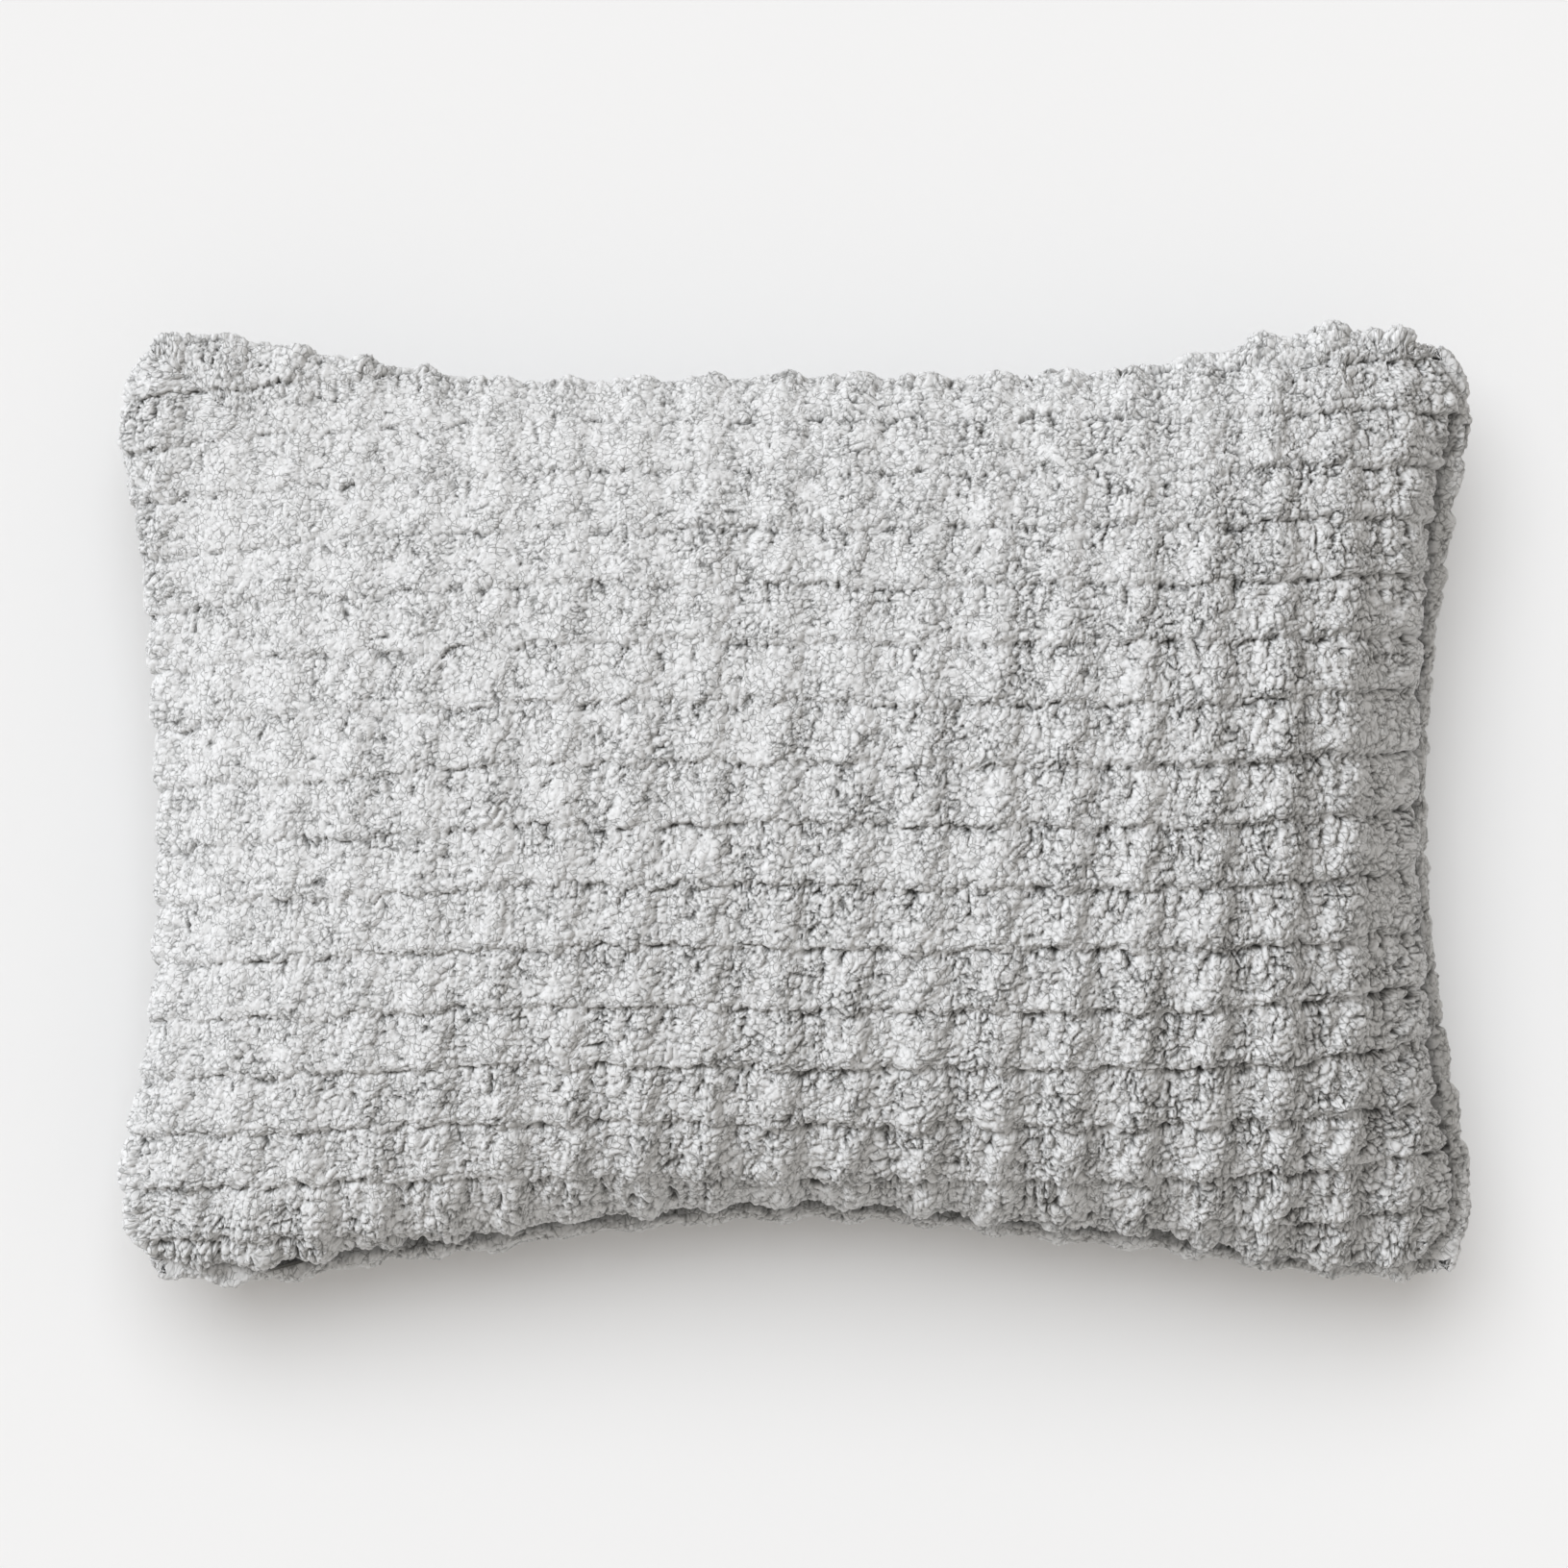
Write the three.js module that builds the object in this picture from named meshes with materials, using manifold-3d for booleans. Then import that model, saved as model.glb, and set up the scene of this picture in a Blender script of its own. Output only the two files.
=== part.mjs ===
// A lumbar throw pillow: a chenille cover with a hidden zip along its -Y seam, over a filled insert.
// It lies on its back: +X runs along its length, +Z up through the crown of the front, z = 0 is the floor.
import * as THREE from "three";
import Module from "manifold-3d";

const wasm = await Module();
wasm.setup();

// Cover, in mm. Half sizes reach to the corners before these are rounded.
const halfLength = 258.4;
const halfWidth = 182.2;
const pullLength = 19; // how far the middle of each short side is drawn in by the filling
const pullWidth = 22.9; // the same for each long side
const cornerSharpness = 24;
const seamHeight = 58; // the seam's height above the floor
const crownRise = 68; // from the seam up to the crown
const bellyDrop = 64; // from the seam down, before the floor flattens the belly
const lengthCurve = 3; // a higher power gives a flatter crown and steeper ends
const widthCurve = 2.2;
const domeFullness = 0.8;
const fabricThickness = 5;
const seamGap = 1.6; // between the two panels' edges, where the thread and the zip's web lie
const coverThread = 1.0;

// Zip, on an arc that follows the long side's curve
const seamArc = halfLength ** 2 / (2 * pullWidth);
const arcCentreY = -(halfWidth - pullWidth) - seamArc;
const zipHalfSpan = 188;
const sliderStart = -183.5; // the slider's place when the zip is closed
const tapeStart = 9;
const tapeEnd = 17.5;
const tapeRise = 0.42;
const tapeThickness = 0.6;
const coilDepth = [9.0, 10.6];
const coilReach = [0.75, 1.9];
const webThickness = 0.9;
const pinRadius = 0.5;
const eyeRadius = 0.8;
const pinOutset = 2.3; // from the seam's edge out to the pull's pin
const pullLengthMm = 16;
const pullLean = 8; // degrees that the hanging pull stands away from the seam

// Insert
const insertHalfLength = 241.5;
const insertHalfWidth = 158;
const insertCloth = 1.2;
const insertGap = 1.2;
const insertThread = 0.6;
const clearance = 0.4;

// One pillow-shaped skin: its half sizes and how far it rises or drops from the seam.
function skin(a, b, rise, side, floor) {
  return (u, v) => {
    const big = Math.max(Math.abs(u), Math.abs(v));
    const small = Math.min(Math.abs(u), Math.abs(v));
    const ratio = big > 0 ? small / big : 0;
    const cut = 1 - (1 + ratio ** cornerSharpness) ** (-1 / cornerSharpness);
    const keep = 1 - cut * big ** 4;
    const x = keep * (a * u - pullLength * u * (1 - v * v));
    const y = keep * (b * v - pullWidth * v * (1 - u * u));
    const dome =
      (Math.max(0, 1 - Math.abs(u) ** lengthCurve) *
        Math.max(0, 1 - Math.abs(v) ** widthCurve)) **
      domeFullness;
    const z = seamHeight + side * rise * dome;
    return [x, y, side < 0 ? Math.max(floor, z) : z];
  };
}

// Grid stations from -1 to 1, closer together towards the seam.
function stations(n) {
  return Array.from({ length: n + 1 }, (_, i) => {
    const t = (2 * i) / n - 1;
    return t * (1.5 - 0.5 * t * t);
  });
}

// The grid's edge as a ring of [i, j], counter-clockwise from above.
function ring(nu, nv) {
  const out = [];
  for (let i = 0; i < nu; i++) out.push([i, 0]);
  for (let j = 0; j < nv; j++) out.push([nu, j]);
  for (let i = nu; i > 0; i--) out.push([i, nv]);
  for (let j = nv; j > 0; j--) out.push([0, j]);
  return out;
}

// A closed solid between an upper and a lower skin, joined round their edges.
function between(upper, lower, nu, nv) {
  const us = stations(nu);
  const vs = stations(nv);
  const points = [];
  const index = [];
  const id = (layer, i, j) => layer * (nu + 1) * (nv + 1) + j * (nu + 1) + i;
  for (const f of [upper, lower])
    for (const v of vs) for (const u of us) points.push(...f(u, v));
  for (let j = 0; j < nv; j++)
    for (let i = 0; i < nu; i++) {
      const [a, b, c, d] = [[i, j], [i + 1, j], [i + 1, j + 1], [i, j + 1]];
      // The diagonal runs away from the nearer corner, so no cell folds over there.
      const turn = (i < nu / 2) === (j < nv / 2);
      const halves = turn ? [[a, b, d], [b, c, d]] : [[a, b, c], [a, c, d]];
      for (const [p, q, r] of halves) {
        index.push(id(0, ...p), id(0, ...q), id(0, ...r));
        index.push(id(1, ...p), id(1, ...r), id(1, ...q));
      }
    }
  const edge = ring(nu, nv);
  edge.forEach((p, k) => {
    const q = edge[(k + 1) % edge.length];
    index.push(id(1, ...p), id(1, ...q), id(0, ...q));
    index.push(id(1, ...p), id(0, ...q), id(0, ...p));
  });
  const g = new THREE.BufferGeometry();
  g.setAttribute("position", new THREE.Float32BufferAttribute(points, 3));
  g.setIndex(index);
  return g;
}

// A skin moved up or down, for the gap between two panels at the seam.
const lift = (f, dz) => (u, v) => {
  const [x, y, z] = f(u, v);
  const edge = Math.max(Math.abs(u), Math.abs(v)) ** 8;
  return [x, y, z + dz * edge];
};

// A thin tube, square in section, along a list of points in the seam's plane.
function thread(points, size) {
  const half = size / 2;
  const shape = new THREE.Shape([
    new THREE.Vector2(-half, -half),
    new THREE.Vector2(half, -half),
    new THREE.Vector2(half, half),
    new THREE.Vector2(-half, half),
  ]);
  const path = new THREE.CatmullRomCurve3(points.map((p) => new THREE.Vector3(...p)));
  return new THREE.ExtrudeGeometry(shape, {
    steps: points.length * 2,
    bevelEnabled: false,
    extrudePath: path,
  });
}

// Points on a skin's edge, a little inside it, going round from one place to another.
function edgeLine(f, inset, places) {
  return places.map(([u, v]) => {
    const [x, y] = f(u, v);
    const r = Math.hypot(x, y);
    return [x * (1 - inset / r), y * (1 - inset / r), seamHeight];
  });
}

// Places round the square [-1, 1] from u = start on the -Y side, past the -X, +Y and +X sides.
function aroundFrom(start, n) {
  const out = [];
  for (let k = 0; k <= 6; k++) out.push([start + ((-1 - start) * k) / 6, -1]);
  for (let k = 1; k <= n; k++) out.push([-1, -1 + (2 * k) / n]);
  for (let k = 1; k <= n; k++) out.push([-1 + (2 * k) / n, 1]);
  for (let k = 1; k <= n; k++) out.push([1, 1 - (2 * k) / n]);
  for (let k = 1; k <= 6; k++) out.push([1 + ((-start - 1) * k) / 6, -1]);
  return out;
}

// A bar bent along the zip's arc. Its section is a polygon of [depth inwards, height from the seam].
function arcBar(section, x0, x1, steps) {
  const points = [];
  const index = [];
  const n = section.length;
  for (let k = 0; k <= steps; k++) {
    const x = x0 + ((x1 - x0) * k) / steps;
    const turn = Math.asin(x / seamArc);
    for (const [depth, up] of section)
      points.push(
        (seamArc + depth) * Math.sin(turn),
        arcCentreY + (seamArc + depth) * Math.cos(turn),
        seamHeight + up,
      );
  }
  for (let k = 0; k < steps; k++)
    for (let s = 0; s < n; s++) {
      const [a, b] = [k * n + s, k * n + ((s + 1) % n)];
      index.push(a, b, a + n, b, b + n, a + n);
    }
  for (let s = 1; s < n - 1; s++) {
    index.push(0, s + 1, s);
    index.push(steps * n, steps * n + s, steps * n + s + 1);
  }
  const g = new THREE.BufferGeometry();
  g.setAttribute("position", new THREE.Float32BufferAttribute(points, 3));
  g.setIndex(index);
  return g;
}

const box = (d0, d1, z0, z1) => [[d0, z0], [d1, z0], [d1, z1], [d0, z1]];
const mirrored = (section) => section.map(([d, z]) => [d, -z]).reverse();

// Turns three.js geometry into a solid for joining and cutting.
function solid(geometry) {
  const g = geometry.index ? geometry.toNonIndexed() : geometry;
  const position = g.getAttribute("position");
  const seen = new Map();
  const vertices = [];
  const triangles = [];
  for (let i = 0; i < position.count; i++) {
    const p = [position.getX(i), position.getY(i), position.getZ(i)];
    const key = p.map((c) => Math.round(c * 1e4) + 0).join();
    if (!seen.has(key)) {
      seen.set(key, vertices.length / 3);
      vertices.push(...p);
    }
    triangles.push(seen.get(key));
  }
  return new wasm.Manifold(
    new wasm.Mesh({
      numProp: 3,
      vertProperties: new Float32Array(vertices),
      triVerts: new Uint32Array(triangles),
    }),
  );
}

function geometryOf(made) {
  const m = made.getMesh();
  const g = new THREE.BufferGeometry();
  g.setAttribute("position", new THREE.Float32BufferAttribute(m.vertProperties, 3));
  g.setIndex(Array.from(m.triVerts));
  return g;
}

// A block and an upright round, placed about the slider's middle at the seam's edge:
// x along the zip, y outwards to inwards, z up.
function block(x0, x1, y0, y1, z0, z1) {
  const g = new THREE.BoxGeometry(x1 - x0, y1 - y0, z1 - z0);
  return solid(g.translate((x0 + x1) / 2, (y0 + y1) / 2, (z0 + z1) / 2));
}
function round(x, y, radius, z0, z1) {
  const g = new THREE.CylinderGeometry(radius, radius, z1 - z0, 20);
  return solid(g.rotateX(Math.PI / 2).translate(x, y, (z0 + z1) / 2));
}

// Moves a piece from the slider's own frame to its place on the arc.
function onArc(geometry, x) {
  const turn = Math.asin(x / seamArc);
  return geometry
    .translate(0, seamArc, 0)
    .rotateZ(-turn)
    .translate(0, arcCentreY, seamHeight);
}

// The slider: a web through the slit, a plate on each side of the coils, and an eye for the pull.
function sliderGeometry() {
  const web = webThickness / 2;
  return geometryOf(
    block(-1.4, 1.4, -pinOutset, 8, -web, web)
      .add(block(-3.6, 3.6, 7.5, 11.5, -web, web))
      .add(round(0, -pinOutset, 1.7, -web, web))
      .add(block(-4, 4, 7.5, 8.5, -2.2, 2.2))
      .add(block(-4, 4, 11.1, 12.1, -2.2, 2.2))
      .subtract(round(0, -pinOutset, eyeRadius, -2, 2)),
  );
}

// The pull: a fork over the slider's eye with a pin through it, and a drop-shaped grip.
function pullGeometry() {
  const outline = new THREE.Shape();
  outline.moveTo(-2.1, -0.9);
  outline.lineTo(-2.1, 0.9);
  outline.lineTo(-pullLengthMm + 5, 1.5);
  outline.quadraticCurveTo(-pullLengthMm, 1.9, -pullLengthMm, 0);
  outline.quadraticCurveTo(-pullLengthMm, -1.9, -pullLengthMm + 5, -1.5);
  const grip = new THREE.ExtrudeGeometry(outline, {
    depth: 1.2,
    bevelEnabled: false,
    curveSegments: 6,
  });
  const made = solid(grip.rotateX(Math.PI / 2).translate(0, 0.6, 0))
    .add(block(-2.6, 0, -0.6, 0.6, 0.75, 1.35))
    .add(block(-2.6, 0, -0.6, 0.6, -1.35, -0.75))
    .add(block(-2.6, -2.0, -0.6, 0.6, -1.35, 1.35))
    .add(round(0, 0, 0.95, 0.75, 1.35))
    .add(round(0, 0, 0.95, -1.35, -0.75))
    .add(round(0, 0, pinRadius, -1.2, 1.2));
  return geometryOf(made)
    .rotateZ((pullLean * Math.PI) / 180)
    .translate(0, -pinOutset, 0);
}

const colours = {
  chenille: ["#c9c9c6", 0.95, 0],
  thread: ["#c2c2be", 0.8, 0],
  tape: ["#bcbcb8", 0.85, 0],
  coil: ["#b4b4b0", 0.5, 0],
  zipMetal: ["#8d8d8a", 0.35, 0.9],
  label: ["#f1f0ec", 0.7, 0],
  insertCloth: ["#efeeea", 0.85, 0],
  filling: ["#f4f3f0", 1, 0],
};

const pillow = new THREE.Group();
pillow.name = "lumbar_pillow";

function add(name, colour, geometry) {
  const [hex, roughness, metalness] = colours[colour];
  const material = new THREE.MeshStandardMaterial({ color: hex, roughness, metalness });
  material.name = colour;
  const mesh = new THREE.Mesh(geometry, material);
  mesh.name = name;
  pillow.add(mesh);
}

// Cover panels: each a thick cloth shell with its edge at the seam
const wall = fabricThickness;
const [innerLength, innerWidth] = [halfLength - wall, halfWidth - wall];
const coverFront = skin(halfLength, halfWidth, crownRise, 1, 0);
const coverFrontInside = skin(innerLength, innerWidth, crownRise - wall, 1, 0);
const coverBack = skin(halfLength, halfWidth, bellyDrop, -1, 0);
const coverBackInside = skin(innerLength, innerWidth, bellyDrop - wall, -1, wall);
const halfGap = seamGap / 2;
const up = (f) => lift(f, halfGap);
const down = (f) => lift(f, -halfGap);
add("front_panel", "chenille", between(up(coverFront), up(coverFrontInside), 30, 22));
add("back_panel", "chenille", between(down(coverBackInside), down(coverBack), 30, 22));

// The seam's thread runs from one end of the zip round three sides to the other end.
const zipEndU = (zipHalfSpan + 12) / halfLength;
add(
  "cover_seam_thread",
  "thread",
  thread(edgeLine(coverFront, 2.6, aroundFrom(-zipEndU, 14)), coverThread),
);
for (const [side, x0] of [["left", -zipHalfSpan - 9], ["right", zipHalfSpan + 3]])
  add("bartack_" + side, "thread", arcBar(box(1.2, 4.2, -0.5, 0.5), x0, x0 + 6, 2));

// Zip: tapes that lean up and down against the panels, coils, stitching and stops
const tapeLow = coilReach[1] + 0.3;
const tapeHigh = tapeLow + tapeRise * (tapeEnd - tapeStart);
const tape = [
  [tapeStart, tapeLow],
  [tapeEnd, tapeHigh],
  [tapeEnd, tapeHigh + tapeThickness],
  [tapeStart, tapeLow + tapeThickness],
];
const stitchDepth = 15.2;
const stitchHeight = tapeLow + tapeRise * (stitchDepth - tapeStart) + tapeThickness + 0.3;
const stitch = [
  [stitchDepth - 0.2, stitchHeight],
  [stitchDepth + 0.2, stitchHeight + tapeRise * 0.4],
  [stitchDepth + 0.2, stitchHeight + tapeRise * 0.4 + 0.4],
  [stitchDepth - 0.2, stitchHeight + 0.4],
];
const coil = box(...coilDepth, ...coilReach);
for (const [side, facing] of [["front", (s) => s], ["back", mirrored]]) {
  add("zipper_tape_" + side, "tape", arcBar(facing(tape), -zipHalfSpan - 6, zipHalfSpan + 6, 36));
  add("zipper_coil_" + side, "coil", arcBar(facing(coil), -zipHalfSpan, zipHalfSpan, 36));
  add("tape_stitching_" + side, "thread", arcBar(facing(stitch), -zipHalfSpan - 4, zipHalfSpan + 4, 36));
  const stop = box(8.7, 10.9, coilReach[0], coilReach[1]);
  add("top_stop_" + side, "zipMetal", arcBar(facing(stop), -zipHalfSpan - 2.5, -zipHalfSpan - 0.4, 1));
}
add("bottom_stop", "zipMetal", arcBar(box(8.7, 10.9, -1.9, 1.9), zipHalfSpan + 0.4, zipHalfSpan + 3, 1));
add("slider_body", "zipMetal", onArc(sliderGeometry(), sliderStart));
add("pull_tab", "zipMetal", onArc(pullGeometry(), sliderStart));

// A blank care label in the corner of the cover, held by the seam
const careLabel = new THREE.BoxGeometry(30, 11, 0.6);
add("care_label", "label", careLabel.rotateZ(-0.146).translate(220, -164.3, seamHeight));

// Insert: two cloth halves with a flat seam, its threads, a blank label and the filling
const insertSkin = (inset, side, edge = inset) =>
  skin(
    insertHalfLength - edge,
    insertHalfWidth - edge,
    (side > 0 ? crownRise : bellyDrop) - wall - clearance - inset,
    side,
    wall + clearance + inset,
  );
const insertLift = (f, side) => lift(f, (side * insertGap) / 2);
const insertHalf = (inset, side) => insertLift(insertSkin(inset, side), side);
add("insert_front", "insertCloth", between(insertHalf(0, 1), insertHalf(insertCloth, 1), 20, 14));
add("insert_back", "insertCloth", between(insertHalf(insertCloth, -1), insertHalf(0, -1), 20, 14));
const mirrorY = (places) => places.map(([u, v]) => [u, -v]);
const insertEdge = insertSkin(0, 1);
const closingU = 0.28;
add(
  "insert_seam_thread",
  "thread",
  thread(edgeLine(insertEdge, 0.7, mirrorY(aroundFrom(-closingU - 0.02, 14))), insertThread),
);
const closing = Array.from({ length: 9 }, (_, k) => [closingU * (k / 4 - 1), 1]);
add("insert_closing_stitch", "thread", thread(edgeLine(insertEdge, 0.7, closing), insertThread));
add("insert_label", "label", new THREE.BoxGeometry(9, 50, 0.5).translate(229, 0, seamHeight));
const fillInset = insertCloth + clearance;
const fillEdge = 4; // the filling stops short of the seam
const fillHalf = (side) => insertSkin(fillInset, side, fillEdge);
add("insert_fill", "filling", between(fillHalf(1), fillHalf(-1), 20, 14));

export default pillow;
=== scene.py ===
import bmesh
import bpy
import itertools
import math
import numpy as np
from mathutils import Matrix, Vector


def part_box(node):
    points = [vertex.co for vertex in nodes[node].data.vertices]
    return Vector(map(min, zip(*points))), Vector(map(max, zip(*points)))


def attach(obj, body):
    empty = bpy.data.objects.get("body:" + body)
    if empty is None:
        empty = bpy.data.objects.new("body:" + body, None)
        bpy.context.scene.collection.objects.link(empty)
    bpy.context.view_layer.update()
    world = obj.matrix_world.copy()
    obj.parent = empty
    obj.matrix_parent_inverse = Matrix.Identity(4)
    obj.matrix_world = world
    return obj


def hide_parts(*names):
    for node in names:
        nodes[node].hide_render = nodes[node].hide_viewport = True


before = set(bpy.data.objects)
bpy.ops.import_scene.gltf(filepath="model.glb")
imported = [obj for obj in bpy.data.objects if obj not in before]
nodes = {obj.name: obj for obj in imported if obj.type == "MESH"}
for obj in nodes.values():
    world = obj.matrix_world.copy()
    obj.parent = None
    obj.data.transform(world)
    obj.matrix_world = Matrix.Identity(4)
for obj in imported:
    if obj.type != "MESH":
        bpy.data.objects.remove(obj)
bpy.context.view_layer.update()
mm = 0.001

for leftOver in ("Cube", "Light", "Camera"):  # what a new Blender file starts with
    if leftOver in bpy.data.objects:
        bpy.data.objects.remove(bpy.data.objects[leftOver])


# Colours, nodes and noise that every piece uses


def linear(hexColour):  # sRGB hex to linear RGBA
    parts = [int(hexColour[i:i + 2], 16) / 255 for i in (1, 3, 5)]
    return [c / 12.92 if c <= 0.04045 else ((c + 0.055) / 1.055) ** 2.4 for c in parts] + [1.0]


def addNode(tree, kind, settings=None, links=None):  # links: input name or number -> (node, output)
    node = tree.nodes.new("ShaderNode" + kind)
    for key, value in (settings or {}).items():
        if isinstance(key, str) and hasattr(node, key):
            setattr(node, key, value)
        else:
            node.inputs[key].default_value = value
    for key, (other, output) in (links or {}).items():
        tree.links.new(other.outputs[output], node.inputs[key])
    return node


def newMaterial(name, **shader):
    material = bpy.data.materials.new(name)
    material.use_nodes = True
    tree = material.node_tree
    surface = tree.nodes["Principled BSDF"]
    for key, value in shader.items():
        surface.inputs[key.replace("_", " ")].default_value = value
    return material, tree, surface


def setRamp(ramp, stops):
    elements = ramp.color_ramp.elements
    while len(elements) < len(stops):
        elements.new(0.5)
    for element, (place, hexColour) in zip(elements, stops):
        element.position = place
        element.color = linear(hexColour)


def tint(tree, surface, values, stops):  # colours the surface by values, a (node, output)
    tone = addNode(tree, "ValToRGB", None, {"Fac": values})
    setRamp(tone, stops)
    tree.links.new(tone.outputs["Color"], surface.inputs["Base Color"])


def emboss(tree, surface, values, strength, depth):  # a fine relief from values, its depth in mm
    bump = addNode(tree, "Bump", {"Strength": strength, "Distance": depth * mm}, {"Height": values})
    tree.links.new(bump.outputs["Normal"], surface.inputs["Normal"])


def scatter(ix, iy, seed):  # a steady random number from 0 to 1 for each lattice place
    a = ix.astype(np.int64) * 374761393 + iy.astype(np.int64) * 668265263 + seed * 974634777
    a = (a ^ (a >> 13)) * 1274126177
    a = a ^ (a >> 16)
    return (a & 0xFFFFFF).astype(np.float32) / 0xFFFFFF


def smoothNoise(x, y, seed):  # value noise, -1 to 1
    ix, iy = np.floor(x), np.floor(y)
    fx, fy = x - ix, y - iy
    fx, fy = fx * fx * (3 - 2 * fx), fy * fy * (3 - 2 * fy)
    a, b = scatter(ix, iy, seed), scatter(ix + 1, iy, seed)
    c, d = scatter(ix, iy + 1, seed), scatter(ix + 1, iy + 1, seed)
    return 2 * ((a + (b - a) * fx) * (1 - fy) + (c + (d - c) * fx) * fy) - 1


def tufts(x, y, seed):  # distances to the nearest two tuft centres, and the nearest one's number
    ix, iy = np.floor(x), np.floor(y)
    near = np.full(x.shape, 9.0, np.float32)
    second = near.copy()
    number = np.zeros(x.shape, np.float32)
    for dx in (-1, 0, 1):
        for dy in (-1, 0, 1):
            cx, cy = ix + dx, iy + dy
            px = cx + 0.5 + 0.8 * (scatter(cx, cy, seed) - 0.5)
            py = cy + 0.5 + 0.8 * (scatter(cx, cy, seed + 7) - 0.5)
            d = np.hypot(x - px, y - py).astype(np.float32)
            closer = d < near
            second = np.where(closer, near, np.minimum(second, d))
            number = np.where(closer, scatter(cx, cy, seed + 13), number)
            near = np.where(closer, d, near)
    return near, second, number


# The cover's weave

weave = {
    "repeatLength": 27.04,  # mm of cloth between two repeats along the pillow
    "repeatWidth": 22.64,
    "offsetLength": 5.9,
    "offsetWidth": 13.1,
    "ground": 2.9,  # mm of pile above the cloth's back where no yarn stands up
    "packLength": 12.0,  # how much closer the repeats are packed at the ends, mm over the half length
    "packWidth": 10.8,
    "packHalf": (240.0, 160.0),
    "rowRidge": 2.1,  # how far a row rises towards its lower edge, which laps over the next row
    "columnRidge": 1.5,  # how far the middle of a column stands up
    "columnMiddle": 15.5,  # how far along the repeat a column's middle lies
    "grooveDepth": 0.9,  # times each groove's own depth
    # Tufts and the curls on them: mm, the shape of their tops and sides, their least share of the
    # height, and the width of the cracks round them as a share of their size
    "tuft": {"size": 3.8, "height": 1.2, "top": 0.5, "topFall": 1.7, "side": 0.6, "sideFall": 3.5,
             "least": 0.45, "crack": 0.12},
    "curl": {"size": 2.0, "height": 0.6, "top": 0.35, "topFall": 1.6, "side": 0.75, "sideFall": 4.0,
             "least": 0.5, "crack": 0.2},
    # How far the yarns, the tufts and the curls stray, and the length over which they do, mm
    "stray": {"yarn": (2.2, 7.0), "tuft": (1.0, 2.6), "curl": (0.6, 1.4)},
    "openGroove": 1.6,  # mm deep, where the pile's cracks are all open
    "stand": 0.86,  # share of its full height that the pile stands
    "standRight": 0.36,  # what the brushing adds to it 250 mm to the right of the middle
    "standTop": -0.2,  # and 170 mm above the middle
    "standRim": 1.3,  # what it comes nearer to round the rim, where nothing flattened it
    "hang": 0.3,  # how far a tuft hangs down, times its height above "hangFrom"
    "hangFrom": 3.6,
}
# The yarns in one repeat: start, end (right, down from the repeat's corner), half width, height
yarns = [
    ((2.4, 2.6), (2.4, 8.0), 2.3, 0.8),
    ((8.4, 2.2), (8.2, 9.0), 3.4, 1.3),
    ((18.8, 4.6), (13.6, 17.0), 6.0, 2.1),
    ((-1.0, 19.0), (9.0, 19.4), 3.4, 0.8),
    ((18.4, 19.4), (25.0, 17.6), 3.6, 0.8),
]
# The grooves between them: start, end, half width, depth
grooves = [
    ((-3.5, 0.2), (9.0, 0.0), 0.9, 0.5),
    ((9.0, 0.1), (15.0, -0.1), 0.9, 0.55),
    ((15.0, 0.0), (23.5, -0.1), 0.9, 0.4),
    ((-1.6, 0.6), (5.4, 0.2), 1.3, 1.7),
    ((0.1, 1.0), (0.2, 8.6), 0.75, 1.3),
    ((4.8, 0.6), (4.7, 8.4), 0.7, 1.2),
    ((10.6, -0.4), (12.8, -0.4), 1.15, 2.0),
    ((13.2, 0.6), (13.3, 5.0), 0.8, 1.4),
    ((13.3, 5.0), (11.4, 9.4), 0.75, 1.2),
    ((-2.2, 15.6), (1.8, 14.9), 0.95, 1.2),
    ((4.8, 15.4), (6.4, 15.1), 0.8, 0.9),
    ((15.2, 14.8), (17.8, 14.4), 0.7, 0.6),
]


def bowed(s, t, seed):  # the rows sag a little to the left and rise to the right, as the cloth was sewn
    left = np.clip((-s - 60) / 140, 0, 1.6)
    right = np.clip((s - 140) / 60, 0, 1.6)
    low = np.clip(-t / 130, 0, 1.4) ** 1.5 * np.clip(-s / 200, 0, 1.2)
    across = s - 7 * low + 1.3 * smoothNoise(s / 45, t / 45, seed)
    down = t + 5.5 * left ** 1.7 - 2.8 * right ** 1.7 + 1.0 * smoothNoise(s / 50, t / 50, seed + 1)
    down = down + 1.1 * smoothNoise(s / 5.5, t / 9, seed + 2)  # each row's edge is scalloped
    return across, down


def awayFrom(p, q, start, end, half, own):  # distance from a line in half widths, its ends set by own
    ax, ay = p - start[0] - 2.2 * own[0], q - start[1] - 1.6 * own[1]
    lx, ly = end[0] - start[0] + 2.6 * own[2], end[1] - start[1] + 1.2 * own[3]
    along = np.clip((ax * lx + ay * ly) / (lx * lx + ly * ly), 0, 1)
    return np.hypot(ax - along * lx, ay - along * ly) / (half * (1 + 0.3 * own[3]))


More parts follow.
